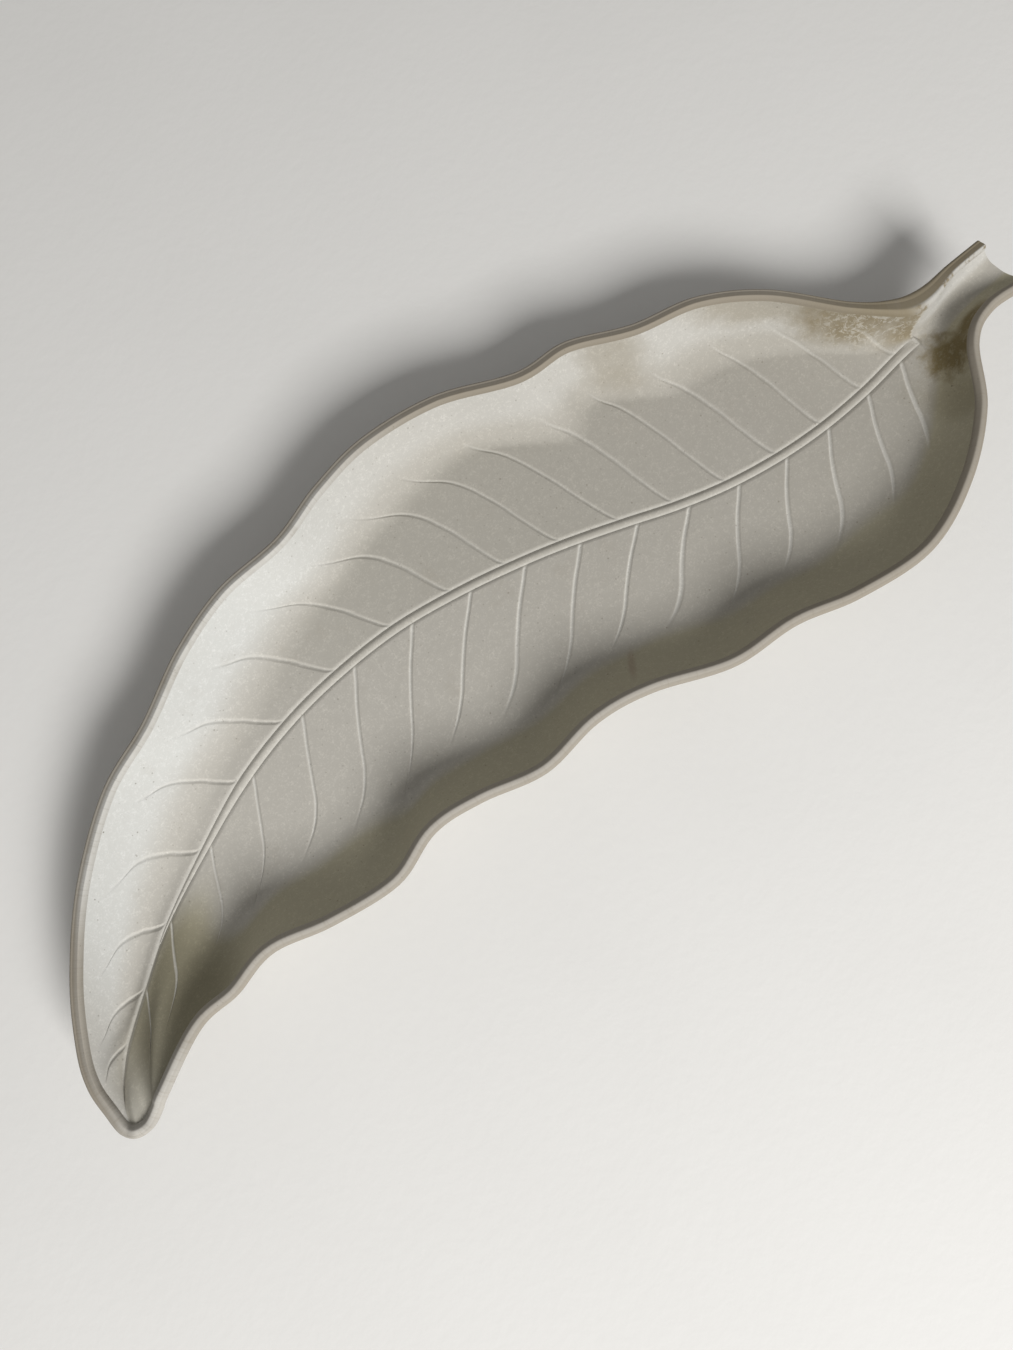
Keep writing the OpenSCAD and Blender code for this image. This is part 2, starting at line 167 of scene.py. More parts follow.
# Soft patches, some marks in the clay and some painted shade: centre and half sizes in
# millimetres, turn in degrees, how soft and how ragged the edge is, and the scale of its noise
PATCHES = {
    "neck": ((176, -7, 25), (21, 8, 12), -44, 0.45, 0.8, 150.0),
    "scribbles": ((180, -12, 24), (18, 10, 12), -44, 0.5, 0.5, 150.0),
    "high_wall": ((98, 50, 22), (10, 18, 14), 15, 0.6, 0.7, 120.0),
    "shoulder": ((153, 24, 27), (30, 9, 9), -42, 0.5, 0.9, 120.0),
    "stain": ((195, -43, 22), (8, 9, 14), -30, 0.6, 1.7, 210.0),
    "stain_tail": ((206, -40, 29), (9, 3, 8), 12, 0.5, 0.6, 150.0),
    "neck_shade": ((184, -62, 22), (8, 22, 14), 20, 0.6, 0.8, 90.0),
    "red_mark": ((17, -43, 15), (7, 1.3, 9), 45, 0.7, 0.8, 150.0),
    "pits": ((187, -51, 16), (7, 5, 10), 0, 0.5, 0.5, 150.0),
    "tip_shade": ((-184, -22, 20), (17, 9, 14), 32, 0.6, 0.8, 120.0),
    # Painted shade in the valley along the midrib near the tip
    "tip_valley_shade": ((-209, -16, 20), (20, 7, 14), 40, 0.6, 0.4, 90.0),
    "near_rim": ((-169, 51, 24), (40, 14, 14), 40, 0.7, 0, 0)}

# Tints of smaller marks and painted shade in linear light, and how much all the clay shines
# The first tint on the next line is painted shade on the upper floor in the middle of the leaf
UPPER_FLOOR_PAINTED_SHADE, MOTTLE = (0.33, 0.315, 0.275), (0.33, 0.30, 0.25)
NECK_SHADE, TIP_SHADE = (0.19, 0.165, 0.10), (0.19, 0.165, 0.105)
# Both tints on the next line are painted shade: in the valley near the tip, and on the lower wall
# near the tip
TIP_VALLEY_PAINTED_SHADE, TIP_WALL_PAINTED_SHADE = (0.33, 0.31, 0.26), (0.195, 0.178, 0.12)
RED_MARK, VEIN_CHALK = (0.29, 0.235, 0.18), (0.60, 0.59, 0.555)
GROOVE_CHALK, FOOT_RUBBED = (0.58, 0.57, 0.535), (0.45, 0.41, 0.34)
FOOT_DARK, FLOOR_SHADE = (0.25, 0.21, 0.15), (0.68, 0.675, 0.66)
WHITE, SHINE = (1.0, 1.0, 1.0), 0.25

# Where tints come in along the leaf, and across the lip from its inner edge, in metres: from
# the first place, and full at the second
PALE_X, UPPER_FLOOR_SHADE_X, UPPER_FLOOR_SHADE_END_X = (0.16, -0.16), (0.12, 0.03), (-0.13, -0.03)
UPPER_WHITE_X, UPPER_WHITE_END_X, LOWER_WALL_SHADE_END_X = (0.03, -0.09), (-0.222, -0.19), (-0.215, -0.185)
TIP_WALL_SHADE_X, TIP_WALL_SHADE_END_X = (-0.155, -0.18), (-0.222, -0.205)
LIP_PALE_X, LIP_BROWN_X, LIP_LOW_X = (0.05, -0.04), (-0.04, 0.05), (-0.02, 0.12)
LIP_TAN_X, LIP_BLOOM_X = (0.155, 0.185), (0.188, 0.2)
TIP_BROWN_X, TIP_PALE_X = (-0.18, -0.205), (-0.185, -0.205)
RIDGE, RUBBED, OUTER_BAND = (0.0034, 0.0018), (0.004, 0.001), (0.0018, 0.003)
LOW_INNER_SHADE_BAND, LOW_OUTER_BAND = (0.0022, 0.0012), (0.0026, 0.0042)

# The stage in metres and watts: floor, sky, lamp and the way to it, and the camera's lens in
# millimetres, place, line of sight and right hand
FLOOR_HALF, SKY_COLOUR, SKY_STRENGTH = 6.0, (1.0, 0.985, 0.96), 0.28
LAMP_SIDE, LAMP_POWER, LAMP_COLOUR = 0.8, 44.5, (1.0, 0.99, 0.975)
LAMP_WAY, LAMP_AWAY = (-0.174, -0.752, 0.636), 2.0
LENS, CAMERA_PLACE = 28.08, (-0.06425, -0.06184, 0.41313)
CAMERA_AHEAD, CAMERA_RIGHT = (0.10922, 0.12332, -0.98634), (0.71564, -0.69842, -0.00805)


def length(name, default, description, low=0.0):
    """A length that the user can change, in metres."""
    return bpy.props.FloatProperty(
        name=name, description=description, default=default, min=low,
        unit="LENGTH", subtype="DISTANCE", precision=4)


def colour(name, default, description):
    """A colour that the user can change, in linear light."""
    return bpy.props.FloatVectorProperty(
        name=name, description=description, default=default, size=3,
        min=0.0, max=1.0, subtype="COLOR")


class LeafDishShape(bpy.types.PropertyGroup):
    """Sizes of the dish."""
    dish_length: length("Length", DISH_LENGTH, "From the tip to the stalk's cut end", 0.1)
    dish_width: length("Width", DISH_WIDTH, "Between the rims' outermost points", 0.05)
    rim_height: length("Rim height", 32 * MM, "Blade's rim above the table")
    wave_height: length("Wave", 1.2 * MM, "How far the rim rises and falls")
    floor_thickness: length("Floor", 4.5 * MM, "Thickness of the floor")
    wall_thickness: length("Wall", 4.8 * MM, "Thickness of the wall under the lip")
    wall_run: length("Wall run", 24 * MM, "Level run of the inside's climb")
    tip_rise: length("Tip rise", 21 * MM, "Floor's climb towards the tip")
    lip_height: length("Lip height", 2.6 * MM, "Top of the lip above the wall")
    stalk_lip_rise: length("Stalk lip rise", 4 * MM, "Stalk's lips above the blade's rim")
    stalk_depth: length("Stalk depth", 3.2 * MM, "Channel's cut end below its walls")
    channel_step: length("Channel step", 1 * MM, "Stalk's channel below the leaf")
    burr_height: length("Burr", 0.5 * MM, "Height of the burr along the step")
    rib_width: length("Midrib width", 3.7 * MM, "Between the bottoms of its grooves")
    rib_end_width: length("Midrib end", 0.6 * MM, "Midrib's width at its pointed end")
    rib_height: length("Midrib height", 0.3 * MM, "Crown of the midrib above the floor")
    groove_width: length("Groove slope", 1.7 * MM, "From the floor to the groove's bottom")
    groove_depth: length("Groove depth", 0.7 * MM, "Depth of the midrib's grooves")
    vein_width: length("Vein width", 3.0 * MM, "Width of a side vein")
    vein_depth: length("Vein depth", 0.6 * MM, "Depth of a side vein")
    foot_height: length("Foot height", FOOT_HEIGHT, "Height of the foot ring")
    foot_width: length("Foot width", 4 * MM, "Width of the foot ring's wall")


class LeafDishColours(bpy.types.PropertyGroup):
    """Colours of the dish and of what it stands on."""
    clay: colour("Clay", (0.365, 0.347, 0.308), "Matt clay of the floor at the broad end")
    pale_clay: colour("Pale clay", (0.45, 0.432, 0.392), "The same clay towards the tip")
    # Painted shade: the warm olive tone of the lower wall, which lies in shade
    lower_wall_painted_shade: colour("Warm clay", (0.38, 0.354, 0.266), "Warmer clay of the lower wall")
    # On the inner slope of the stalk's lip it is partly a painted highlight
    bloom: colour("Bloom", (0.47, 0.46, 0.43), "Chalky bloom on walls and stalk's lip")
    # Whiter clay on the upper wall towards the tip
    upper_tip_white: colour("White bloom", (0.57, 0.575, 0.555), "Bloom on the upper wall near the tip")
    tan: colour("Tan wear", (0.225, 0.188, 0.122), "Rubbed, tan patches near the rim")
    # On the burr it is partly pale worn clay and partly a painted highlight
    scribble_and_highlight: colour("Scribbles", (0.42, 0.395, 0.34), "Pale scribbles and burr at the neck")
    olive: colour("Olive stain", (0.165, 0.13, 0.062), "Dark stain at the neck")
    lip: colour("Lip", (0.37, 0.348, 0.31), "Clay of the lip")
    lip_pale: colour("Pale lip", (0.52, 0.51, 0.48), "Clay of the lip near the tip")
    # Also laid on the inner slope of the lower lip as painted shade
    lip_wear_and_shade: colour("Lip wear", (0.26, 0.228, 0.18), "Browner clay where it is rubbed")
    speck: colour("Specks", (0.13, 0.11, 0.08), "Small dark specks in the clay")
    foot: colour("Foot", (0.34, 0.295, 0.225), "Bare clay of the foot")
    backdrop: colour("Floor", (0.73, 0.725, 0.71), "Plain pale floor")


def along(points, t):
    """A smooth curve through points at places t, counted in points: between two points it
    is the cubic that passes both, with a slope there of half the step between the points
    on either side."""
    ends = np.concatenate([2 * points[:1] - points[1:2], points, 2 * points[-1:] - points[-2:-1]])
    t = np.asarray(t, float)
    i = np.clip(np.floor(t).astype(int), 0, len(points) - 2)
    f = (t - i).reshape(t.shape + (1,) * (points.ndim - 1))
    a, b, c, d = (ends[i + k] for k in range(4))
    return (2 * b + (c - a) * f + (2 * a - 5 * b + 4 * c - d) * f ** 2
            + (3 * b - a - 3 * c + d) * f ** 3) / 2


def clamp(x):
    """x held between 0 and 1."""
    return np.clip(x, 0.0, 1.0)


def smooth(x):
    """A step from 0 to 1 with level ends: 3 x squared less 2 x cubed, x held in 0 to 1."""
    x = clamp(x)
    return x * x * (3 - 2 * x)


def rise(x, start, end):
    """A smooth step from 0 at start to 1 at end, which may lie before it."""
    return smooth((x - start) / (end - start))


class Leaf:
    """The dish's surface, as functions of a station t along the midrib and a share v of
    the way from the midrib to the rim. All lengths are in metres."""

    def __init__(self, shape):
        self.s = shape
        rim = np.vstack([STATIONS[:, 2:4], STATIONS[-2::-1, 4:6]])
        samples = along(rim, np.linspace(0, 2 * LAST, 8 * LAST + 1))
        low, high = samples.min(0), samples.max(0)
        box = np.array([shape.dish_length, shape.dish_width])
        self.rim = ((rim - low) / (high - low) - 0.5) * box
        self.middle = ((STATIONS[:, 0:2] - low) / (high - low) - 0.5) * box
        self.stalk_floor_rise = (
            shape.rim_height - shape.lip_height - shape.wave_height + shape.stalk_lip_rise
            - shape.stalk_depth - shape.foot_height - shape.floor_thickness)

    def spine(self, t):
        """The midrib's line in plan."""
        return along(self.middle, t)

    def outer_edge(self, t, side):
        """The rim's outer line in plan, which runs down one side and back up the other."""
        return along(self.rim, t if side == 0 else 2 * LAST - t)

    def outward(self, t, side):
        """Square to the rim and away from the dish: the rim's direction turned a quarter."""
        u = t if side == 0 else 2 * LAST - t
        d = along(self.rim, u + AHEAD) - along(self.rim, u - AHEAD)
        d /= np.linalg.norm(d, axis=-1, keepdims=True)
        return np.stack([d[..., 1], -d[..., 0]], -1)

    def inner_edge(self, t, side):
        """The rim's inner line: the outer one moved in by the wall's thickness, which a bell
        widens at the neck's upper side."""
        middle, reach, more = NECK_WALL
        bell = np.exp(-((t - middle) / reach) ** 2) * (1 - side)
        wall = self.s.wall_thickness * (1 + more * bell)
        return self.outer_edge(t, side) - wall[..., None] * self.outward(t, side)

    def climbs(self, t):
        """How far the stalk's and the tip's rises have come, each 0 to 1: the square of the
        share of the way from where the floor starts to climb to the leaf's end."""
        x = self.spine(t)[..., 0] / self.s.dish_length + 0.5
        stalk, tip = (x - STALK_FROM) / (1 - STALK_FROM), (TIP_FROM - x) / TIP_FROM
        return clamp(stalk) ** 2, clamp(tip) ** 2

    def floor_z(self, t):
        """Height of the floor along the midrib."""
        stalk, tip = self.climbs(t)
        return (self.s.foot_height + self.s.floor_thickness
                + self.stalk_floor_rise * stalk + self.s.tip_rise * tip)

    def wall_top(self, t, side):
        """Height of the wall's top: level, with a cosine wave that fades at both ends."""
        wave = np.cos(2 * np.pi * (t - WAVE_CREST) / WAVE[side]) * WAVE_SHARE[side]
        wave = (self.s.wave_height * wave
                * clamp((t - VEIN_FIRST) / FADE) * clamp((LAST - t) / FADE))
        return (self.s.rim_height - self.s.lip_height - self.s.wave_height
                + self.s.stalk_lip_rise * self.climbs(t)[0] + wave)

    def climb(self, t, v, side):
        """How far up the wall a point is, 0 on the floor and 1 at the lip: a power of the
        share of the way over the wall's run. A bell at each swell changes the run, and it is
        longer on the upper side near the tip. Close to the tip the climb turns into a curve
        over the whole way from the midrib."""
        half = np.linalg.norm(self.inner_edge(t, side) - self.spine(t), axis=-1)
        swell = sum(k * np.exp(-((t - c) / SWELL_REACH[side]) ** 2) for c, k in SWELLS[side])
        longer = RUN_MORE * rise(t, *RUN_GROWS) * rise(t, *RUN_ENDS)
        more = SWELL_RUN[side] * swell + (longer if side == 0 else 0.0)
        run = self.s.wall_run * (1 + more)
        w = np.minimum(run / half, WALL_MOST)
        climb = clamp((v - 1 + w) / w) ** WALL_POWER
        near_tip = smooth((t - TIP_CURVE[side]) / TIP_CURVE_OVER[side])
        step = smooth(clamp(v) ** TIP_CURVE_POWER)
        over_all = TIP_CURVE_WEIGHT * step + (1 - TIP_CURVE_WEIGHT) * clamp(v)
        return climb + (over_all - climb) * near_tip

    def leaned(self, t, v, side):
        """Cross lines sag towards the stalk, then hook back to the tip, as the veins do: two
        smooth curves over v, the first one times another over t, which fade at both ends."""
        sag = along(SAG_SHAPE[side], 10 * v) * along(SAG[side], t / 2)
        lean = sag + along(HOOK[side], 10 * v)
        return t + lean * clamp((t - NECK) / FADE) * clamp((LAST - t) / FADE)

    def jag(self, v):
        """An uneven line along the step, about -1 to 1: a sum of sines of v."""
        return sum(high * np.sin(turns * v + start) for turns, start, high in SINES)

    def before_step(self, t, v, side):
        """How far a point is past the channel's step towards the stalk, in stations. The
        step's line slants from the midrib to the lip and is uneven on the upper side."""
        uneven = STRAY * self.jag(v) * clamp(v / COME_IN) if side == 0 else 0.0
        return STEP_FROM - STEP_BACK * v + uneven - t

    def burr(self, t, v, side):
        """The thin uneven burr along the step's top on the upper side, 0 to about 1: a bell
        across the step's line."""
        if side == 1:
            return np.zeros_like(v)
        across = np.exp(-((self.before_step(t, v, side) + BURR_PLACE) / BURR_HALF) ** 2)
        return across * (BURR_MEAN + BURR_UNEVEN * self.jag(v)) * clamp(v / COME_IN)

    def channel(self, t, v, side):
        """How far the stalk's channel lies below the leaf's own surface: a smooth step along
        a slanting line, which dies out under the lip, towards the stalk's end and over the
        lower side, less the burr."""
        reach = clamp(1 - v / STEP_REACH) if side == 1 else 1.0
        step = (self.s.channel_step * smooth(self.before_step(t, v, side) / STEP_SLOPE)
                * smooth(t / STEP_FADE) * clamp((1 - v) / STEP_LIP) * reach)
        return step - self.s.burr_height * self.burr(t, v, side) * clamp((1 - v) / BURR_LIP)

    def flank(self, t, v, side):
        """The leaf's flank beside the channel, 1 next to the step on the leaf's side of the
        upper half, fading out over the next stations."""
        if side == 1:
            return np.zeros_like(v)
        return (smooth(-self.before_step(t, v, side) / FLANK_START)
                * smooth((FLANK_END - FLANK_LEAN * v - t) / FLANK_FADE) * rise(v, *FLANK_LOW))

    def point(self, t, v, side, edge, less):
        """A point on the line from the midrib to an edge, at the height of the floor plus
        the wall's climb, less some."""
        p = self.spine(t) + (edge(t, side) - self.spine(t)) * v[..., None]
        low = self.floor_z(t)
        z = low + (self.wall_top(t, side) - low) * self.climb(t, v, side) - less
        return np.concatenate([p, z[..., None]], -1)

    def inside(self, t0, v, side, sunk=0.0):
        """A point of the inside, less what is engraved."""
        t = self.leaned(t0, v, side)
        return self.point(t, v, side, self.inner_edge, sunk + self.channel(t, v, side))

    def underside(self, t0, v, side):
        """A point of the outside, less the floor's thickness, which dies out up the wall."""
        t = self.leaned(t0, v, side)
        thick = self.s.floor_thickness * (1 - self.climb(t, v, side))
        return self.point(t, v, side, self.outer_edge, thick)

    def rib_half(self, t):
        """Half the midrib's width, which narrows over its last stations."""
        f = clamp((t - RIB_NARROWS) / (RIB_LAST - RIB_NARROWS))
        return (self.s.rib_width * (1 - f) + self.s.rib_end_width * f) / 2

    def share_of(self, d, t, side):
        """A distance square to the midrib, as a share of the way to the rim."""
        run = self.inner_edge(t, side) - self.spine(t)
        ahead = self.spine(np.minimum(LAST, t + AHEAD)) - self.spine(np.maximum(0, t - AHEAD))
        cross = np.abs(run[..., 0] * ahead[..., 1] - run[..., 1] * ahead[..., 0])
        square = cross / np.linalg.norm(ahead, axis=-1)
        return d / np.maximum(square, np.linalg.norm(run, axis=-1) / 2)

    def fade_in(self, t):
        """The grooves' and the midrib's depth grow over the first stations of the blade."""
        return clamp((t - GROOVE_FIRST) / (VEIN_FIRST - GROOVE_FIRST))

    def columns(self, side):
        """Stations of the shell's columns, close together over each vein, and how deep each
        column is cut, 0 to 1: a smooth fall to the vein's bottom and a smooth rise after it.
        A vein springs at its own station, less a lag that is a half wave over the leaf."""
        k = np.arange(VEIN_FIRST, VEIN_LAST[side] + 1)
        c = k - LAG[side] * np.sin(np.pi * (k - VEIN_FIRST) / (VEIN_LAST[side] - VEIN_FIRST))
        two_stations = np.linalg.norm(self.spine(k + 1) - self.spine(k - 1), axis=-1)
        half = self.s.vein_width / two_stations
        w = np.linspace(0, 1, ACROSS_VEIN)
        b = BOTTOM[side]
        deep = np.where(w < b, smooth(w / b), smooth((1 - w) / (1 - b)))
        over = c[:, None] + half[:, None] * (2 * w - 1)
        ahead = np.append(c[1:] - half[1:], VEIN_LAST[side] + 1.0)
        parts = np.linspace(0, 1, BETWEEN_VEINS)[1:-1]
        between = (c + half)[:, None] + (ahead - c - half)[:, None] * parts
        neck = np.arange(NECK, NECK_END, NECK_STEP)
        tip = np.linspace(VEIN_LAST[side] + 1.0, LAST, TIP_COLUMNS[side])
        t = np.concatenate([over.ravel(), between.ravel(), neck, tip])
        cut = np.concatenate([np.tile(deep, len(k)), np.zeros(between.size + len(neck) + len(tip))])
        order = np.argsort(t, kind="stable")
        return t[order], cut[order]


def side_grid(leaf, t, cut, side):
    """One side of the shell as a grid of columns by rows. Each column runs from the bottom
    of the groove up its slope, a square law, then over the floor and up the inside to the
    lip, and back down the outside to the midrib. Gives points, normals, shares and marks.
    One more column is worked out past each end that goes on, for the normals there."""
    first, final = int(t[0] > 0), int(t[-1] < LAST)
    t = np.concatenate([t[:1] - NECK_STEP, t, t[-1:] + NECK_STEP])[1 - first:len(t) + 1 + final]
    cut = np.concatenate([[0], cut, [0]])[1 - first:len(cut) + 1 + final]
    edge = leaf.share_of(leaf.rib_half(t), t, side)
    groove = leaf.share_of(leaf.rib_half(t) + leaf.s.groove_width, t, side)
    slope = np.linspace(0, 1, GROOVE_ROWS)
    rest = 1 - (1 - np.linspace(0, 1, INNER_ROWS + 1)[1:]) ** INNER_CROWDING
    v = np.concatenate([
        edge[:, None] + (groove - edge)[:, None] * slope,
        groove[:, None] + (1 - groove)[:, None] * rest], 1)
    tt = np.repeat(t[:, None], v.shape[1], 1)
    sunk = np.zeros_like(v)
    sunk[:, :GROOVE_ROWS] = leaf.s.groove_depth * leaf.fade_in(t)[:, None] * (1 - slope) ** 2
    start = np.concatenate([smooth(slope), np.ones(INNER_ROWS)])
    engraved = cut[:, None] * clamp((END[side] - v) / (END[side] - FULL[side])) * start
    inside = leaf.inside(tt, v, side, sunk + leaf.s.vein_depth * engraved)
    u = 1 - (1 - edge)[:, None] * np.linspace(0, 1, OUTER_ROWS) ** OUTER_CROWDING
    outside = leaf.underside(np.repeat(t[:, None], OUTER_ROWS, 1), u, side)
    turn = -1 if side == 0 else 1
    none = np.zeros_like(u)
    leaned = leaf.leaned(tt, v, side)
    marks = {
        "climb": leaf.climb(leaned, v, side), "vein": engraved, "inner": np.ones_like(v),
        "groove": sunk / leaf.s.groove_depth, "lower": np.full_like(v, side),
        "burr": leaf.burr(leaned, v, side), "flank": leaf.flank(leaned, v, side)}
    marks = {key: np.concatenate([value, none], 1) for key, value in marks.items()}
    kept = slice(first, len(t) - final)
    return (np.concatenate([inside, outside], 1)[kept],
            np.concatenate([grid_normals(inside, turn), grid_normals(outside, turn)], 1)[kept],
            np.concatenate([v, u], 1)[kept], {k: m[kept] for k, m in marks.items()})


def grid_normals(grid, turn):
    """Normals of a grid of points: the cross product of its two directions, one long."""
    n = np.cross(np.gradient(grid, axis=0), np.gradient(grid, axis=1)) * turn
    size = np.linalg.norm(n, axis=-1, keepdims=True)
    return n / np.maximum(size, 1e-12)


def strip(a, b, flip):
    """Two triangles for each step between two rows of point numbers of equal length."""
    one = np.stack([a[:-1], a[1:], b[1:]], -1)
    two = np.stack([a[:-1], b[1:], b[:-1]], -1)
    faces = np.concatenate([one, two])
    return faces[:, ::-1] if flip else faces


def sheet(ids, flip):
    """The strips between neighbouring rows of a grid of point numbers."""
    return [strip(ids[:, j], ids[:, j + 1], flip) for j in range(ids.shape[1] - 1)]


def gathered(smooth_faces, flat_faces):
    """All the faces in one array, and which of them are flat."""
    faces = np.concatenate(smooth_faces + flat_faces)
    return faces, np.arange(len(faces)) >= sum(len(f) for f in smooth_faces)


def zipped(a, b, place_a, place_b, flip):
    """Triangles between two rows whose points have other places: the steps of both rows are
    taken in the order of their places, and each adds one triangle."""
    places = np.concatenate([place_a[1:], place_b[1:]])
    of_a = np.arange(len(places)) < len(a) - 1
    order = np.lexsort((~of_a, places))
    of_a = of_a[order]
    i = np.cumsum(of_a) - of_a
    j = np.cumsum(~of_a) - ~of_a
    step_a = np.stack([a[i], a[np.minimum(i + 1, len(a) - 1)], b[j]], -1)
    step_b = np.stack([a[i], b[np.minimum(j + 1, len(b) - 1)], b[j]], -1)
    faces = np.where(of_a[:, None], step_a, step_b)
    return faces[:, ::-1] if flip else faces


def linked(name, data):
    """A new object with this data, in the scene."""
    made = bpy.data.objects.new(name, data)
    bpy.context.scene.collection.objects.link(made)
    return made


def make_piece(name, points, faces, normals, flat, marks, uv=None):
    """A mesh object at the origin. Smooth faces take the given normals at their corners and
    flat ones their own. marks holds a number for each point, uv two numbers for each point."""
    points = points.reshape(-1, 3)
    mesh = bpy.data.meshes.new(name)
    mesh.vertices.add(len(points))
    mesh.vertices.foreach_set("co", np.asarray(points, np.float32).ravel())
    mesh.loops.add(faces.size)
    mesh.loops.foreach_set("vertex_index", faces.astype(np.int32).ravel())
    mesh.polygons.add(len(faces))
    mesh.polygons.foreach_set("loop_start", np.arange(0, faces.size, 3, dtype=np.int32))
    mesh.polygons.foreach_set("use_smooth", ~flat)
    mesh.update(calc_edges=True)
    mesh.validate(clean_customdata=False)
    if len(mesh.polygons) != len(faces):
        raise RuntimeError(f"{name}: the mesh lost faces")
    for key, value in marks.items():
        mesh.attributes.new(key, "FLOAT", "POINT").data.foreach_set(
            "value", np.asarray(value, np.float32).ravel())
    if uv is not None:
        layer = mesh.uv_layers.new(name="surface")
        layer.data.foreach_set("uv", np.asarray(uv, np.float32)[faces.ravel()].ravel())
    corners = normals.reshape(-1, 3)[faces.ravel()].reshape(-1, 3, 3)
    a, b, c = (points[faces[:, k]] for k in range(3))
    own = np.cross(b - a, c - a)
    own /= np.maximum(np.linalg.norm(own, axis=-1, keepdims=True), 1e-15)
    corners[flat] = own[flat][:, None, :]
    mesh.normals_split_custom_set(corners.reshape(-1, 3))
    return linked(name, mesh)


def shell_piece(leaf, name, columns, cuts, cap_far):
    """A length of the shell: the two sides' grids, joined under the midrib above and below,
    with a flat cap on each cut end. columns and cuts hold a row for each side."""
    grids = [side_grid(leaf, columns[s], cuts[s], s) for s in (0, 1)]
    rows, inner = GROOVE_ROWS + INNER_ROWS + OUTER_ROWS, GROOVE_ROWS + INNER_ROWS
    first = len(columns[0]) * rows
    ids = [np.arange(first).reshape(-1, rows),
           first + np.arange(len(columns[1]) * rows).reshape(-1, rows)]
    points, normals = (np.concatenate([g[k].reshape(-1, 3) for g in grids]) for k in (0, 1))
    shares = np.concatenate([g[2].ravel() for g in grids])
    marks = {k: np.concatenate([g[3][k].ravel() for g in grids]) for k in grids[0][3]}
    joins = [zipped(ids[0][:, 0], ids[1][:, 0], columns[0], columns[1], False),
             zipped(ids[0][:, -1], ids[1][:, -1], columns[0], columns[1], True)]
    caps = []
    for end in (0, -1)[:1 + cap_far]:
        for s in (0, 1):
            up, down = ids[s][end, :inner], ids[s][end, :inner - 1:-1]
            caps.append(zipped(up, down, shares[up], shares[down], (s == 0) == (end < 0)))
        caps.append(strip(ids[0][end, [0, -1]], ids[1][end, [0, -1]], end == 0))
    faces, flat = gathered(sheet(ids[0], True) + sheet(ids[1], False) + joins, caps)
    return make_piece(name, points, faces, normals, flat, marks)


def bar_piece(name, grid, flip, marks, uv=None):
    """A bar: a grid of sections along a line, closed by a flat base and a cap on each end."""
    n = grid.shape[1]
    ids = np.arange(grid[..., 0].size).reshape(-1, n)
    fan = np.stack([np.zeros(n - 2, int), np.arange(1, n - 1), np.arange(2, n)], -1)
    turn = -1 if flip else 1
    flats = [strip(ids[:, -1], ids[:, 0], flip), ids[0][fan][:, ::turn], ids[-1][fan][:, ::-turn]]
    faces, flat = gathered(sheet(ids, flip), flats)
    return make_piece(name, grid, faces, grid_normals(grid, turn), flat, marks, uv)


def bowl_piece(leaf):
    """The blade of the leaf, open where the stalk joins it."""
    sides = [leaf.columns(s) for s in (0, 1)]
    return shell_piece(leaf, "leaf_blade", [s[0] for s in sides], [s[1] for s in sides], False)


def stalk_piece(leaf):
    """The stalk's trough, a plain length of the same shell."""
    t = np.linspace(0, NECK, STALK_COLUMNS)
    return shell_piece(leaf, "stalk_trough", [t, t], [t * 0, t * 0], True)


def lip_piece(leaf):
    """The lip: its section, a smooth curve through the named points, carried along the top
    of the wall from one side of the stalk's end round the tip to the other, where the upper
    side's section turns into the lower side's. Its uv is metres along and across."""
    stalk_t = np.linspace(0, NECK, STALK_COLUMNS)[:-1]
    rim_t = [np.concatenate([stalk_t, leaf.columns(s)[0]]) for s in (0, 1)]
    t = np.concatenate([rim_t[0], rim_t[1][::-1][1:]])
    side = np.concatenate([np.zeros(len(rim_t[0])), np.ones(len(rim_t[1]) - 1)])
    parts = []
    for s in (0, 1):
        ts = t[side == s]
        parts.append((leaf.inner_edge(ts, s), leaf.outer_edge(ts, s), leaf.wall_top(ts, s)))
    inner, outer, top = (np.concatenate([p[k] for p in parts]) for k in range(3))
    upper, lower = (clamp(along(s, np.linspace(0, len(s) - 1, LIP_ROWS))) for s in LIP_SECTION)
    turned = (side + (0.5 - side) * rise(t, LAST - FADE, LAST))[:, None, None]
    section = upper + (lower - upper) * turned
    xy = inner[:, None, :] + (outer - inner)[:, None, :] * section[..., :1]
    z = top[:, None] + leaf.s.lip_height * section[..., 1]
    run = np.concatenate([[0], np.cumsum(np.linalg.norm(np.diff(outer, axis=0), axis=1))])
    wide = np.linalg.norm(outer - inner, axis=1)[:, None]
    uv = np.stack([np.repeat(run[:, None], LIP_ROWS, 1), section[..., 0] * wide], -1)
    marks = {"upper": np.repeat(1 - turned[:, 0, 0], LIP_ROWS), "share": section[..., 0]}
    return bar_piece(
        "rolled_lip", np.concatenate([xy, z[..., None]], -1), True, marks, uv.reshape(-1, 2))


def midrib_piece(leaf):
    """The midrib: a low arch between the bottoms of its two grooves, whose height falls with
    the square of the distance from its middle, and which narrows to a point."""
    t = np.append(np.arange(RIB_FIRST, RIB_LAST, RIB_STEP), RIB_LAST)
    r = np.linspace(-1, 1, RIB_ROWS)
    grid = np.zeros((len(t), len(r), 3))
    tall = (leaf.s.rib_height + leaf.s.groove_depth) * leaf.fade_in(t)
    tall = tall * leaf.rib_half(t) * 2 / leaf.s.rib_width
    for s, pick in ((1, r < 0), (0, r >= 0)):
        v = np.abs(r[pick])[None, :] * leaf.share_of(leaf.rib_half(t), t, s)[:, None]
        tt = np.repeat(t[:, None], v.shape[1], 1)
        sunk = leaf.s.groove_depth * leaf.fade_in(t)[:, None] - tall[:, None] * (1 - r[pick] ** 2)
        grid[:, pick] = leaf.inside(tt, v, s, sunk)
    marks = {"inner": np.ones(grid[..., 0].size), "groove": np.tile(np.abs(r) ** 3, len(t))}
    return bar_piece("midrib_rounded", grid, False, marks)


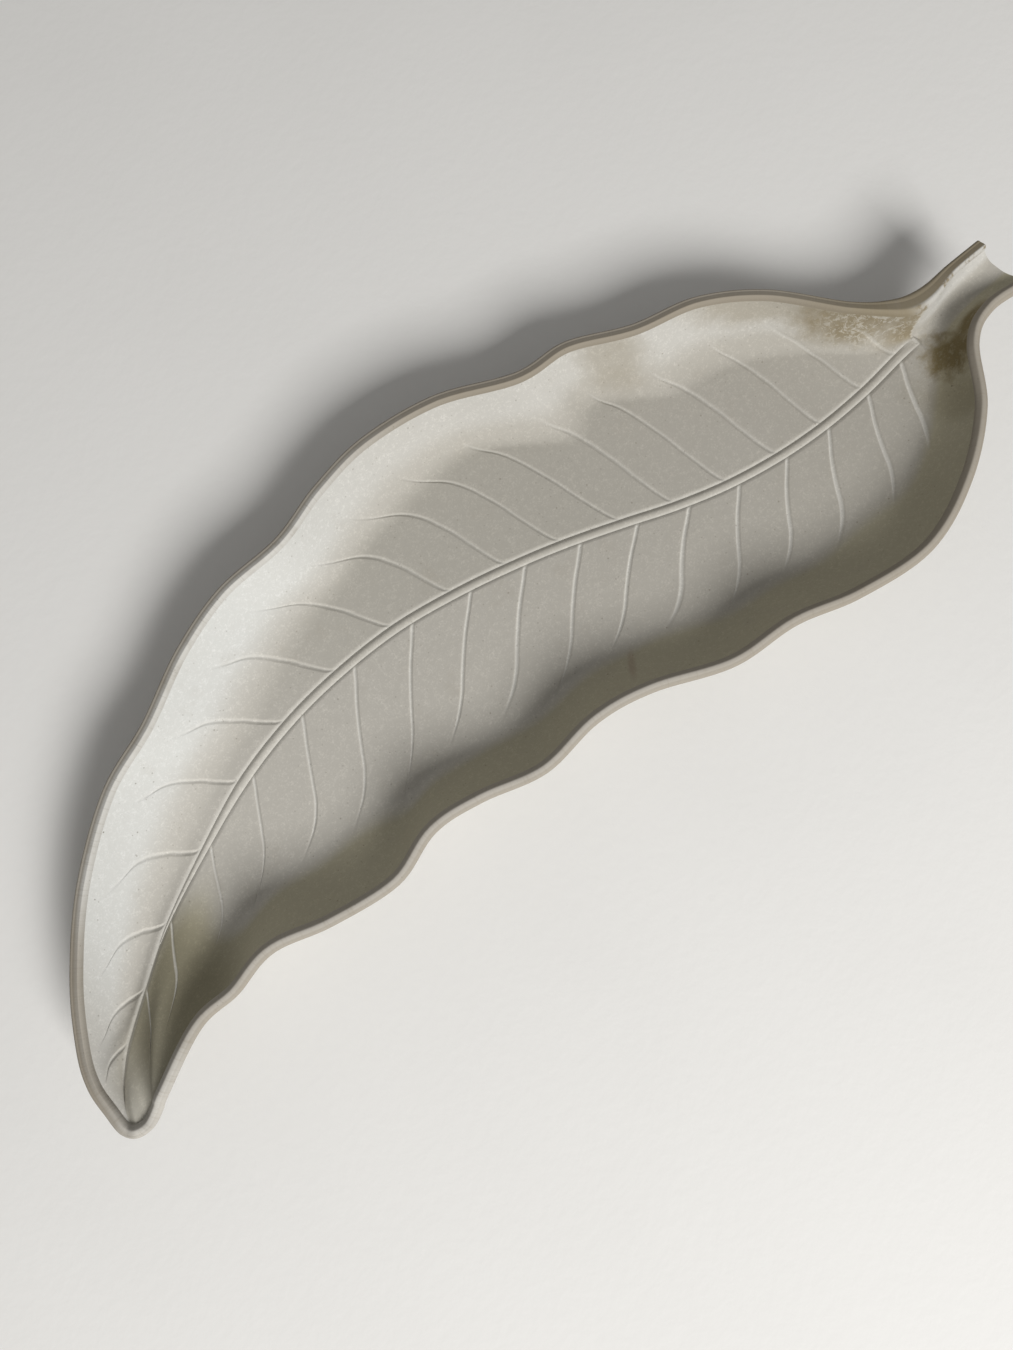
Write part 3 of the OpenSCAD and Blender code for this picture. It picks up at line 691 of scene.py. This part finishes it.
def foot_piece(leaf):
    """The foot ring: a section with rounded lower edges carried round a leaf shaped line,
    moved in from the line square to it by each point's distance. The line goes round the
    way that has the inside on its left."""
    f = np.linspace(0, 1, FOOT_COLUMNS)
    line = []
    for s, share in ((0, f), (1, f[-2:0:-1])):
        t = FOOT_FIRST + (FOOT_LAST - FOOT_FIRST) * share
        v = FOOT_SHARE * np.sqrt(np.sin(np.pi * clamp(share)))
        line.append(leaf.underside(t, v, s)[:, :2])
    line = np.concatenate(line)
    ahead = np.roll(line, -1, 0) - np.roll(line, 1, 0)
    ahead /= np.linalg.norm(ahead, axis=1, keepdims=True)
    inward = np.stack([-ahead[:, 1], ahead[:, 0]], -1)
    h, w, e = leaf.s.foot_height, leaf.s.foot_width, FOOT_CORNER * leaf.s.foot_width
    turn = np.linspace(0, np.pi / 2, CORNER_ROWS)
    section = np.concatenate([
        [[0, h]],
        np.stack([e - e * np.cos(turn), e - e * np.sin(turn)], -1),
        np.stack([w - e + e * np.sin(turn), e - e * np.cos(turn)], -1),
        [[w, h]]])
    grid = np.concatenate([
        line[:, None, :] + inward[:, None, :] * section[None, :, :1],
        np.repeat(section[None, :, 1:2], len(line), 0)], -1)
    ids = np.arange(grid[..., 0].size).reshape(len(line), -1)
    loop = np.concatenate([ids, ids[:1]])
    faces, flat = gathered(sheet(loop, True), [strip(loop[:, -1], loop[:, 0], True)])
    normals = grid_normals(np.concatenate([grid[-1:], grid, grid[:1]]), -1)[1:-1]
    return make_piece("foot_rounded", grid, faces, normals, flat, {})


class Shade:
    """One socket of a material. Arithmetic on it adds Math nodes, and node() any other."""

    def __init__(self, tree, socket=None):
        self.tree, self.socket = tree, socket

    def node(self, kind, settings=None, inputs=None, output=0):
        """Adds a node of a kind. Its settings go on first, then a value or a link into each
        socket, by its name or number."""
        new = self.tree.nodes.new("ShaderNode" + kind)
        for key, value in (settings or {}).items():
            setattr(new, key, value)
        for key, value in (inputs or {}).items():
            if isinstance(value, Shade):
                self.tree.links.new(value.socket, new.inputs[key])
            else:
                new.inputs[key].default_value = value
        return Shade(self.tree, new.outputs[output])

    def math(self, operation, *values):
        """A Math node of these values."""
        return self.node("Math", {"operation": operation}, dict(enumerate(values)))

    def __add__(self, other): return self.math("ADD", self, other)
    def __sub__(self, other): return self.math("SUBTRACT", self, other)
    def __rsub__(self, other): return self.math("SUBTRACT", other, self)
    def __mul__(self, other): return self.math("MULTIPLY", self, other)

    def step(self, low, high, to_low=0.0, to_high=1.0):
        """A smooth step from one value to the other between low and high."""
        return self.node("MapRange", {"interpolation_type": "SMOOTHSTEP"}, {
            "Value": self, "From Min": low, "From Max": high, "To Min": to_low, "To Max": to_high})

    def mix(self, other, amount, blend="MIX"):
        """This colour, with another one laid over it by an amount."""
        tint = other if isinstance(other, Shade) else (*other, 1.0)
        return self.node("Mix", {"data_type": "RGBA", "blend_type": blend},
                         {0: amount, 6: self, 7: tint}, 2)

    def layers(self, *pairs):
        """This colour, with others laid over it in turn, each by an amount."""
        tint = self
        for other, amount in pairs:
            tint = tint.mix(other, amount)
        return tint

    def noise(self, scale, detail=3.0, rough=0.55, warp=0.0):
        """Noise at a number of features to the metre, from 0 to 1."""
        return self.node("TexNoise", {}, {
            "Vector": self, "Scale": scale, "Detail": detail,
            "Roughness": rough, "Distortion": warp})

    def axis(self, number):
        """One of the three numbers of this place: 0, 1 or 2."""
        return self.node("SeparateXYZ", {}, {0: self}, number)

    def plain(self, tint):
        """One plain colour."""
        made = self.node("RGB")
        made.socket.default_value = (*tint, 1.0)
        return made

    def marks(self, *names):
        """The numbers of these names that the points hold."""
        return [self.node("Attribute", {"attribute_name": name}, output=2)
                for name in names]


def begin(name):
    """A new material, and its object coordinates."""
    material = bpy.data.materials.new(name)
    material.use_nodes = True
    return material, Shade(material.node_tree).node("TexCoord", output=3)


def finish(material, tint, rough, bump, depth):
    """Feeds the material's shader: colour, roughness and a bump of a depth in metres."""
    surface = material.node_tree.nodes["Principled BSDF"]
    normal = tint.node("Bump", {}, {"Strength": 1.0, "Distance": depth, "Height": bump})
    for name, value in (("Base Color", tint), ("Roughness", rough), ("Normal", normal)):
        tint.tree.links.new(value.socket, surface.inputs[name])
    surface.inputs["Specular IOR Level"].default_value = SHINE
    return material


def patch(place, name):
    """A soft oval patch, 1 inside and 0 outside: the distance from its centre in its own
    half sizes, pushed about by noise where its edge is ragged."""
    centre, size, turn, edge, ragged, scale = PATCHES[name]
    local = place.node("Mapping", {"vector_type": "TEXTURE"}, {
        "Vector": place, "Location": tuple(c * MM for c in centre),
        "Rotation": (0.0, 0.0, np.radians(turn)), "Scale": tuple(s * MM for s in size)})
    away = local.node("VectorMath", {"operation": "LENGTH"}, {0: local}, 1)
    if ragged:
        away = away + (place.noise(scale, 4.0, 0.6) - 0.5) * ragged
    return away.step(1 + edge, 1 - edge)


def specks(place, scale, size, share):
    """Small round specks: cells whose own random number is under a share, where the
    distance from the cell's centre is under a size, in cells."""
    inputs = {"Vector": place, "Scale": scale, "Randomness": 1.0}
    away = place.node("TexVoronoi", {}, inputs, 0)
    own = place.node("TexVoronoi", {}, inputs, 1)
    red = own.node("SeparateColor", {}, {0: own})
    return away.step(size, size * 0.5) * red.math("LESS_THAN", red, share)


def clay_material(c):
    """Matt clay, made once for all its pieces: mottled at three scales, finely grained and
    specked, paler towards the tip and where the bloom lies on the walls and in the veins,
    whiter on the upper wall towards the tip, with painted shade on the lower wall, beside
    the neck, on the upper floor in the middle of the leaf and near the tip. The inside has
    tan rubbed patches with scribbles, the pale burr, partly a painted highlight, and the
    dark stain at the neck. c holds the colours."""
    if "matt_clay" in bpy.data.materials:
        return bpy.data.materials["matt_clay"]
    material, place = begin("matt_clay")
    climb, vein, groove, inner, lower, burr, flank = place.marks(
        "climb", "vein", "groove", "inner", "lower", "burr", "flank")
    x = place.axis(0)
    broad = place.noise(14.0, 3.0)
    blotch = place.noise(70.0, 4.0, 0.6)
    fine = place.noise(480.0, 4.0, 0.65)
    grain = place.noise(1500.0, 3.0, 0.6)
    upper_half = inner - lower
    bloom = climb.step(0.05, 0.6) * 0.7 + (broad - 0.5) * 0.5 + (blotch - 0.5) * 0.25
    # Mask of the painted shade on the upper floor in the middle of the leaf
    upper_floor_shade_mask = climb.step(0.12, 0.0) * x.step(*UPPER_FLOOR_SHADE_X) * x.step(*UPPER_FLOOR_SHADE_END_X)
    tip_wall = climb.step(0.0, 0.5) * x.step(*UPPER_WHITE_X) * x.step(*UPPER_WHITE_END_X)
    outside = place.plain(c.clay).layers(
        (c.pale_clay, x.step(*PALE_X)),
        (c.bloom, bloom.step(0.0, 0.9) * inner),
        # Painted shade on the upper floor in the middle of the leaf
        (UPPER_FLOOR_PAINTED_SHADE, upper_half * upper_floor_shade_mask * 0.45),
        # Whiter on the upper wall towards the tip
        (c.upper_tip_white, upper_half * tip_wall * (blotch * 0.4 + 0.7)),
        # Painted shade: the warm olive tone over the lower wall
        (c.lower_wall_painted_shade, climb.step(0.0, 0.15) * lower * x.step(*LOWER_WALL_SHADE_END_X, 0.4, 1.0)),
        (MOTTLE, blotch.step(0.55, 0.8) * 0.25))

    worn = patch(place, "neck")
    worn = worn.math("MAXIMUM", worn, flank)
    strokes = place.noise(300.0, 5.0, 0.75, 1.2).step(0.5, 0.56) * patch(place, "scribbles")
    stain = patch(place, "stain")
    stain = stain.math("MAXIMUM", stain, patch(place, "stain_tail"))
    pits = specks(place, 620.0, 0.3, 0.4) * patch(place, "pits")
    inside = outside.layers(
        (c.tan, worn * (blotch.step(0.3, 0.6) * 0.25 + 0.72)),
        (c.scribble_and_highlight, strokes * 0.75),
        # Partly pale worn clay and partly a painted highlight along the burr's ridge
        (c.scribble_and_highlight, burr.step(0.25, 0.8) * 0.9),
        (c.tan, patch(place, "high_wall") * 0.42),
        (c.tan, patch(place, "shoulder") * 0.5),
        (c.olive, stain * (fine.step(0.3, 0.5) * 0.35 + 0.65)),
        (NECK_SHADE, patch(place, "neck_shade") * 0.4),
        (RED_MARK, patch(place, "red_mark") * 0.6),
        (c.speck, pits * 0.7),
        (TIP_SHADE, patch(place, "tip_shade") * 0.4),
        # Painted shade in the valley along the midrib near the tip
        (TIP_VALLEY_PAINTED_SHADE, patch(place, "tip_valley_shade") * 0.7),
        # Painted shade on the lower wall near the tip
        (TIP_WALL_PAINTED_SHADE, lower * x.step(*TIP_WALL_SHADE_X) * x.step(*TIP_WALL_SHADE_END_X) * 0.75))

    near_rim = patch(place, "near_rim") * 0.5
    tint = outside.mix(inside, inner).layers(
        (VEIN_CHALK, vein.step(0.15, 0.8) * (lower * 0.36 + 0.22)),
        (GROOVE_CHALK, groove.step(0.05, 0.5) * 0.3),
        (c.speck, specks(place, 480.0, 0.19, 0.22) * (near_rim + 0.3)),
        (c.speck, specks(place, 260.0, 0.13, 0.1) * (near_rim + 0.4)))
    tint = tint.mix(WHITE, (grain - 0.5) * 0.7 + (fine - 0.5) * 0.55, "OVERLAY")
    bumps = grain * 0.35 + fine * 0.5 + blotch * 1.5
    return finish(material, tint, blotch * 0.1 + 0.72, bumps, 0.12 * MM)


def lip_material(c):
    """The lip's clay, with fine lines across it that follow the rim, a paler ridge, browner
    bands and patches, painted shade on the inner slope of the lower lip, and bloom that is
    partly a painted highlight on the crest of the stalk's lip. c holds the colours."""
    material, place = begin("lip_clay")
    run = place.node("UVMap", {"uv_map": "surface"})
    across = run.axis(1)
    lines = run.node("Mapping", {"vector_type": "POINT"}, {
        "Vector": run, "Scale": (1400.0, 90.0, 1.0)}).noise(1.0, 3.0, 0.6)
    blotch = place.noise(80.0, 4.0, 0.6)
    grain = place.noise(1500.0, 3.0, 0.6)
    upper, share = place.marks("upper", "share")
    lower = 1.0 - upper
    x = place.axis(0)
    crest_bloom_and_highlight = share.step(0.36, 0.26) * place.noise(260.0, 4.0, 0.65).step(0.34, 0.46)
    tint = place.plain(c.lip).layers(
        (c.lip_pale, upper * x.step(*LIP_PALE_X) * across.step(*RIDGE)),
        (c.lip_wear_and_shade, upper * x.step(*LIP_BROWN_X) * across.step(*RUBBED, 0.5, 1.0) * 0.9),
        (c.lip_wear_and_shade, upper * across.step(*OUTER_BAND) * 0.35),
        (c.tan, upper * x.step(*LIP_TAN_X) * 0.8),
        # Partly chalky bloom and partly a painted highlight on the stalk's lip, up to its ridge
        (c.bloom, upper * x.step(*LIP_BLOOM_X) * crest_bloom_and_highlight * 0.95),
        # Painted shade on the inner slope of the lower lip
        (c.lip_wear_and_shade, lower * across.step(*LOW_INNER_SHADE_BAND) * 0.4),
        (c.lip_wear_and_shade, lower * across.step(*LOW_OUTER_BAND) * 0.55),
        (c.lip_wear_and_shade, lower * x.step(*LIP_LOW_X) * 0.55),
        (c.lip_wear_and_shade, upper * x.step(*TIP_BROWN_X) * 0.7),
        (c.lip_pale, lower * x.step(*TIP_PALE_X) * 0.5),
        (c.lip_wear_and_shade, blotch.step(0.5, 0.75) * 0.35),
        (c.lip_wear_and_shade, lines.step(0.5, 0.7) * 0.3),
        (c.speck, specks(place, 480.0, 0.17, 0.16) * 0.35))
    bumps = grain * 0.35 + lines * 0.6 + blotch
    return finish(material, tint, blotch * 0.1 + 0.7, bumps, 0.15 * MM)


def foot_material(c):
    """Bare clay of the foot, rubbed smooth and paler where it touches the table."""
    material, place = begin("foot_clay")
    blotch = place.noise(90.0, 4.0, 0.6)
    grain = place.noise(1300.0, 3.0, 0.6)
    tint = place.plain(c.foot).layers(
        (FOOT_RUBBED, place.axis(2).step(1.2 * MM, 0.0) * 0.7),
        (FOOT_DARK, blotch.step(0.5, 0.72) * 0.5))
    return finish(material, tint, blotch * 0.15 + 0.6, grain * 0.4 + blotch, 0.15 * MM)


def floor_material(c):
    """The plain pale floor, a little shaded here and there."""
    material, place = begin("pale_floor")
    shade = place.noise(9.0, 3.0).step(0.35, 0.75) * 0.25
    tint = place.plain(c.backdrop).mix(FLOOR_SHADE, shade)
    return finish(material, tint, place.noise(30.0) * 0.1 + 0.8, place.noise(200.0), 0.1 * MM)


def build(context, make, material, slot, *nodes):
    """Makes a piece, gives it its material and puts it in place of the CAD's nodes."""
    piece = make(Leaf(context.scene.leafdish_shape))
    piece.data.materials.append(material(context.scene.leafdish_colours))
    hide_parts(*nodes)
    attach(piece, "root")
    return {"FINISHED"}


class LEAFDISH_OT_bowl(bpy.types.Operator):
    """Build the open dish of the leaf, with its veins and the grooves of the midrib"""
    bl_idname = "leafdish.bowl"
    bl_label = "Leaf Bowl"

    def execute(self, context):
        return build(context, bowl_piece, clay_material, "clay", "leaf_bowl")


class LEAFDISH_OT_stalk(bpy.types.Operator):
    """Build the open trough of the stalk, which runs on from the neck to its cut end"""
    bl_idname = "leafdish.stalk"
    bl_label = "Stalk"

    def execute(self, context):
        return build(context, stalk_piece, clay_material, "clay", "stalk")


class LEAFDISH_OT_lip(bpy.types.Operator):
    """Build the rolled lip along the top of the wall"""
    bl_idname = "leafdish.lip"
    bl_label = "Rolled Lip"

    def execute(self, context):
        return build(context, lip_piece, lip_material, "lip_clay", "rim_lip")


class LEAFDISH_OT_midrib(bpy.types.Operator):
    """Build the rounded rib along the middle of the leaf"""
    bl_idname = "leafdish.midrib"
    bl_label = "Midrib"

    def execute(self, context):
        return build(context, midrib_piece, clay_material, "clay", "midrib")


class LEAFDISH_OT_foot(bpy.types.Operator):
    """Build the leaf shaped ring that the dish stands on"""
    bl_idname = "leafdish.foot"
    bl_label = "Foot Ring"

    def execute(self, context):
        return build(context, foot_piece, foot_material, "foot_clay", "foot_ring")


class LEAFDISH_OT_stage(bpy.types.Operator):
    """Set the pale floor, the soft lights and the camera"""
    bl_idname = "leafdish.stage"
    bl_label = "Stage"

    def execute(self, context):
        scene = context.scene
        mesh = bpy.data.meshes.new("floor")
        r = FLOOR_HALF
        mesh.from_pydata([(-r, -r, 0), (r, -r, 0), (r, r, 0), (-r, r, 0)], [], [(0, 1, 2, 3)])
        mesh.materials.append(floor_material(scene.leafdish_colours))
        floor = linked("floor", mesh)

        scene.world = bpy.data.worlds.new("studio")
        scene.world.use_nodes = True
        sky = scene.world.node_tree.nodes["Background"]
        sky.inputs["Color"].default_value = (*SKY_COLOUR, 1.0)
        sky.inputs["Strength"].default_value = SKY_STRENGTH

        lamp = bpy.data.lights.new("window", "AREA")
        lamp.shape, lamp.size, lamp.size_y = "RECTANGLE", LAMP_SIDE, LAMP_SIDE
        lamp.energy, lamp.color = LAMP_POWER, LAMP_COLOUR
        away = Vector(LAMP_WAY).normalized() * LAMP_AWAY
        turned = away.to_track_quat("Z", "Y").to_matrix().to_4x4()
        linked("window", lamp).matrix_world = Matrix.Translation(away) @ turned

        view = bpy.data.cameras.new("camera")
        view.sensor_fit, view.sensor_width, view.lens = "AUTO", 36.0, LENS
        view.clip_start = 0.01
        ahead, right = Vector(CAMERA_AHEAD).normalized(), Vector(CAMERA_RIGHT)
        right = (right - ahead * right.dot(ahead)).normalized()
        turned = Matrix((right, right.cross(ahead), -ahead)).transposed().to_4x4()
        scene.camera = linked("camera", view)
        scene.camera.matrix_world = Matrix.Translation(Vector(CAMERA_PLACE)) @ turned
        scene.view_settings.view_transform = "Standard"
        return {"FINISHED"}


class LEAFDISH_PT_sidebar(bpy.types.Panel):
    """Lists the dish's sizes, colours and pieces"""
    bl_idname = "LEAFDISH_PT_sidebar"
    bl_label = "Leaf Dish"
    bl_space_type = "VIEW_3D"
    bl_region_type = "UI"
    bl_category = "Leaf Dish"

    def draw(self, context):
        for group in (context.scene.leafdish_shape, context.scene.leafdish_colours):
            box = self.layout.box()
            for name in group.bl_rna.properties.keys():
                if name not in ("rna_type", "name"):
                    box.prop(group, name)
        for operator in OPERATORS:
            self.layout.operator(operator.bl_idname)


OPERATORS = (LEAFDISH_OT_bowl, LEAFDISH_OT_stalk, LEAFDISH_OT_lip, LEAFDISH_OT_midrib,
             LEAFDISH_OT_foot, LEAFDISH_OT_stage)
CLASSES = (LeafDishShape, LeafDishColours, *OPERATORS, LEAFDISH_PT_sidebar)


def register():
    for item in CLASSES:
        bpy.utils.register_class(item)
    bpy.types.Scene.leafdish_shape = bpy.props.PointerProperty(type=LeafDishShape)
    bpy.types.Scene.leafdish_colours = bpy.props.PointerProperty(type=LeafDishColours)


def unregister():
    del bpy.types.Scene.leafdish_shape
    del bpy.types.Scene.leafdish_colours
    for item in reversed(CLASSES):
        bpy.utils.unregister_class(item)


def main():
    """Builds every piece and the stage."""
    register()
    bpy.ops.leafdish.bowl()
    bpy.ops.leafdish.stalk()
    bpy.ops.leafdish.lip()
    bpy.ops.leafdish.midrib()
    bpy.ops.leafdish.foot()
    bpy.ops.leafdish.stage()


if __name__ == "__main__":
    main()
